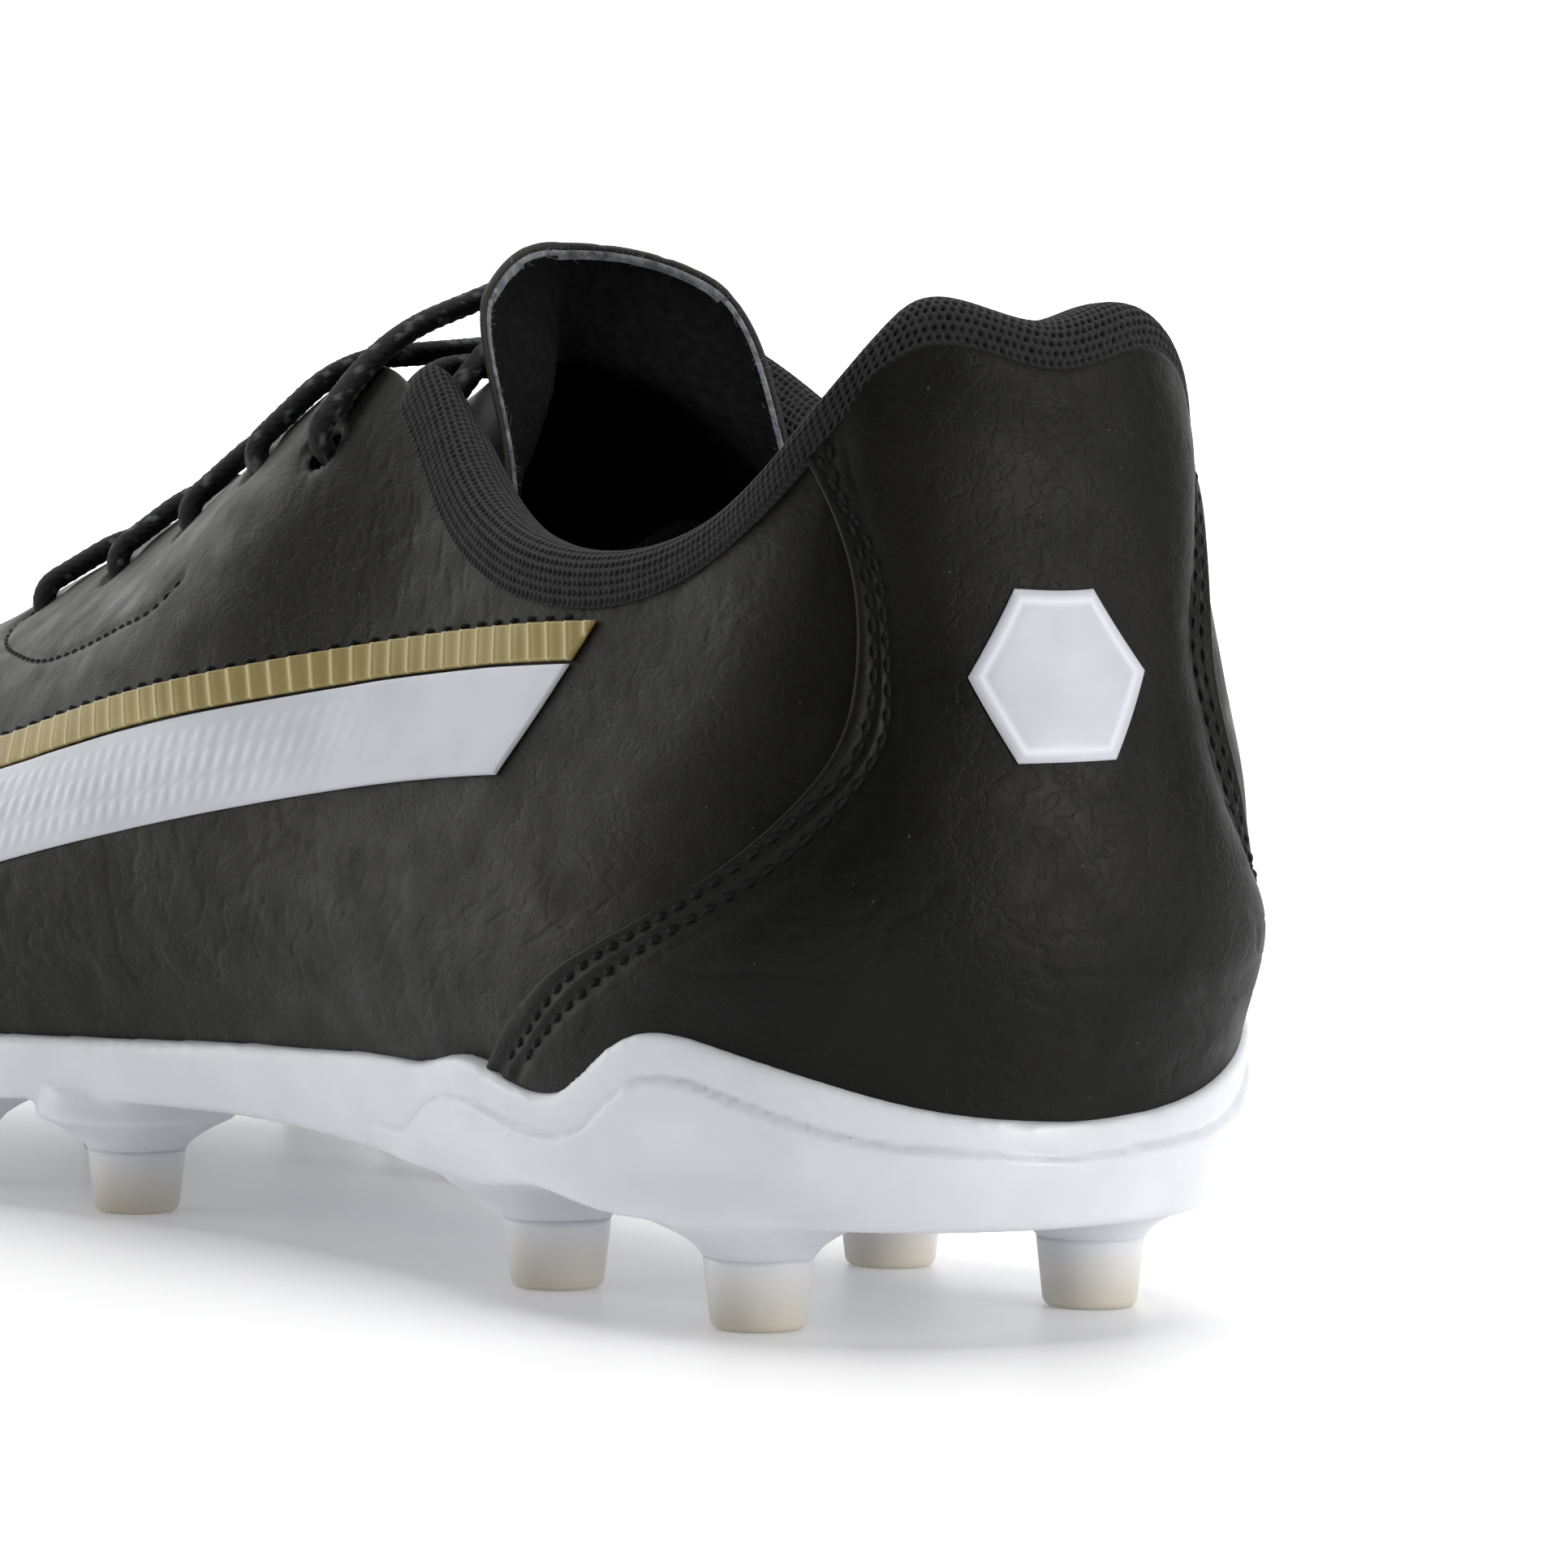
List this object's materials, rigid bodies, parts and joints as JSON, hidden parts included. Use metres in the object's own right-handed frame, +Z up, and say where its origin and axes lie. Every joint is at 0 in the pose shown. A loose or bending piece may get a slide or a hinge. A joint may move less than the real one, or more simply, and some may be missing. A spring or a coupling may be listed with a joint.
{
  "type": "soccer cleat",
  "caption": "Left low-cut soccer cleat with a black leather upper, side bands, laced throat, separate tongue and a moulded outsole with conical studs.",
  "frame": {"origin": "on the ground plane under the middle of the boot's box: the stud tips stand on z = 0", "axes": "+X towards the heel, -X towards the toe, -Y towards the outer (lateral) side of a left foot, +Z up"},
  "size_m": [0.2869, 0.0964, 0.1023],
  "materials": {
    "outsole_white": "satin moulded TPU, faint cool tint",
    "stud_tip_ivory": "satin, slightly translucent ivory TPU",
    "insole_board": "pressed fibre board",
    "sockliner_foam": "moulded foam",
    "sockliner_cloth": "brushed knit",
    "vamp_leather": "soft black leather, fine grain, satin",
    "quarter_leather": "black coated leather, fine grain and creases, satin",
    "heel_leather": "black coated leather, satin",
    "padding_foam": "open-cell foam",
    "stiffener": "thermoplastic sheet",
    "lining_cloth": "brushed lining cloth",
    "knit_binding": "knit tape with open loops",
    "tongue_leather": "soft black leather, satin",
    "tongue_felt": "needled felt, light grey edge, dark face",
    "gold_film": "matte old-gold film with pressed ribs",
    "white_film": "white film with pressed ribs",
    "emblem_film": "white film",
    "lace_braid": "braided lace with pale flecks",
    "lace_tip": "clear-black film tip"
  },
  "bodies": {
    "boot": {"collar_binding": "knit_binding", "collar_padding": "padding_foam", "eyestay_backing_lateral": "stiffener", "eyestay_backing_medial": "stiffener", "heel_counter": "stiffener", "heel_emblem": "emblem_film", "heel_panel": "heel_leather", "heel_panel_padding": "padding_foam", "insole_board": "insole_board", "lace": "lace_braid", "lace_tip_lateral": "lace_tip", "lace_tip_medial": "lace_tip", "outsole_plate": "outsole_white", "quarter_lateral": "quarter_leather", "quarter_lining_lateral": "lining_cloth", "quarter_lining_medial": "lining_cloth", "quarter_medial": "quarter_leather", "side_band_plain_lateral": "white_film", "side_band_plain_medial": "white_film", "side_band_ribbed_lateral": "gold_film", "side_band_ribbed_medial": "gold_film", "sockliner_cover": "sockliner_cloth", "sockliner_foam": "sockliner_foam", "stud_tip_fore_centre": "stud_tip_ivory", "stud_tip_fore_lateral_1": "stud_tip_ivory", "stud_tip_fore_lateral_2": "stud_tip_ivory", "stud_tip_fore_lateral_3": "stud_tip_ivory", "stud_tip_fore_lateral_4": "stud_tip_ivory", "stud_tip_fore_medial_1": "stud_tip_ivory", "stud_tip_fore_medial_2": "stud_tip_ivory", "stud_tip_fore_medial_3": "stud_tip_ivory", "stud_tip_fore_medial_4": "stud_tip_ivory", "stud_tip_heel_lateral_front": "stud_tip_ivory", "stud_tip_heel_lateral_rear": "stud_tip_ivory", "stud_tip_heel_medial_front": "stud_tip_ivory", "stud_tip_heel_medial_rear": "stud_tip_ivory", "toe_puff": "stiffener", "vamp": "vamp_leather", "vamp_lining": "lining_cloth"},
    "tongue": {"tongue_leather": "tongue_leather", "tongue_felt": "tongue_felt"}
  },
  "joints": [
    {"name": "tongue_hinge", "type": "hinge", "parent": "boot", "child": "tongue", "pos_m": [-0.06183, 0.0019, 0.0535], "axis": [0, 1, 0], "range_deg": [0, 8], "stiffness_Nm_per_rad": 0.06, "springref_deg": -17.19}
  ]
}
